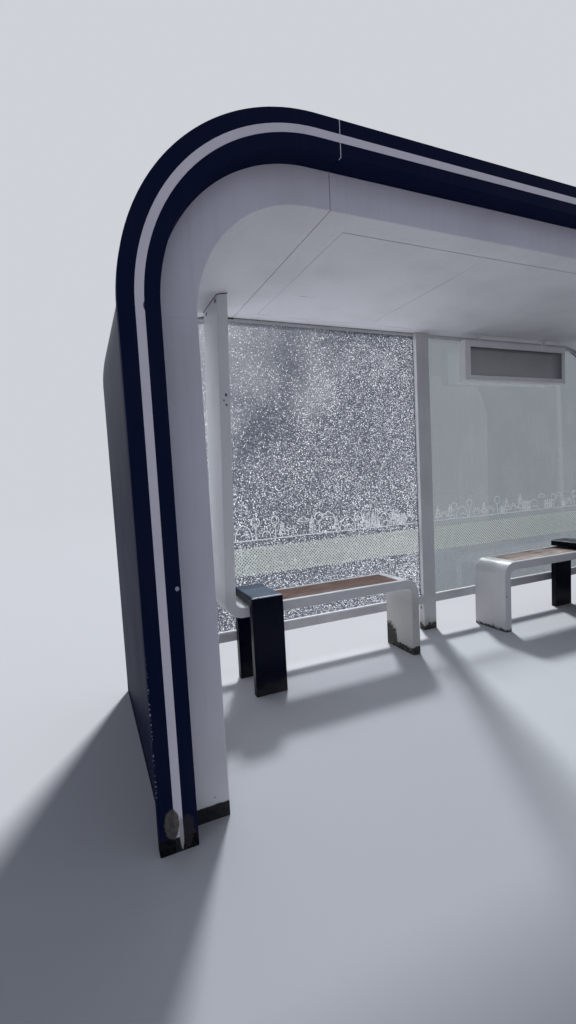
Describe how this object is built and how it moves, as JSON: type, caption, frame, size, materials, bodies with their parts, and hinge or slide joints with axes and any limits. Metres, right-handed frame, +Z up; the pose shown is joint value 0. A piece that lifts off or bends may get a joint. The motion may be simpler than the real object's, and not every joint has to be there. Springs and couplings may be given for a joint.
{
  "type": "bus shelter",
  "caption": "Open-front bus shelter: deep rounded portal frame in dark and white cladding, glazed back with middle post, ribbon benches rising into leaning fins, sign box under the ceiling.",
  "frame": {"origin": "on the floor, under the middle of the shelter's footprint", "axes": "+X along the shelter to the right as seen from the open front, +Y from the open front to the glazed back, +Z up"},
  "size_m": [5.152, 1.605, 2.86],
  "materials": {
    "fascia": "gloss",
    "stripe": "satin",
    "lining": "satin",
    "outer_skin": "gloss",
    "back_panel": "gloss",
    "frame_steel": "satin",
    "glass": "clear",
    "shattered_glass": "crazed",
    "bench_white": "satin",
    "seat_wood": "varnished",
    "bench_dark": "gloss",
    "sign_case": "satin",
    "sign_glass": "gloss"
  },
  "bodies": {
    "root": {"fascia_left_leg": "fascia", "fascia_left_corner": "fascia", "fascia_beam": "fascia", "fascia_right_corner": "fascia", "fascia_right_leg": "fascia", "fascia_stripe": "stripe", "lining_left_wall": "lining", "lining_left_corner": "lining", "ceiling_frame": "lining", "lining_right_corner": "lining", "lining_right_wall": "lining", "ceiling_panels": "lining", "end_wall_left": "outer_skin", "end_wall_right": "outer_skin", "roof_corner_left": "outer_skin", "roof_corner_right": "outer_skin", "roof_deck": "outer_skin", "back_left_leg": "back_panel", "back_left_corner": "back_panel", "back_beam": "back_panel", "back_right_corner": "back_panel", "back_right_leg": "back_panel", "back_stripe": "stripe", "mid_post": "frame_steel", "head_rails": "frame_steel", "jamb_channels": "frame_steel", "bottom_rails": "frame_steel", "glass_left": "shattered_glass", "glass_right": "glass", "bench_left_ribbon": "bench_white", "bench_right_ribbon": "bench_white", "bench_left_board": "seat_wood", "bench_right_board": "seat_wood", "bench_left_support": "bench_dark", "bench_right_support": "bench_dark", "bench_left_rear_leg": "bench_dark", "bench_right_rear_leg": "bench_dark", "sign_box": "sign_case", "sign_screen": "sign_glass", "sign_hangers": "sign_case"}
  },
  "joints": []
}
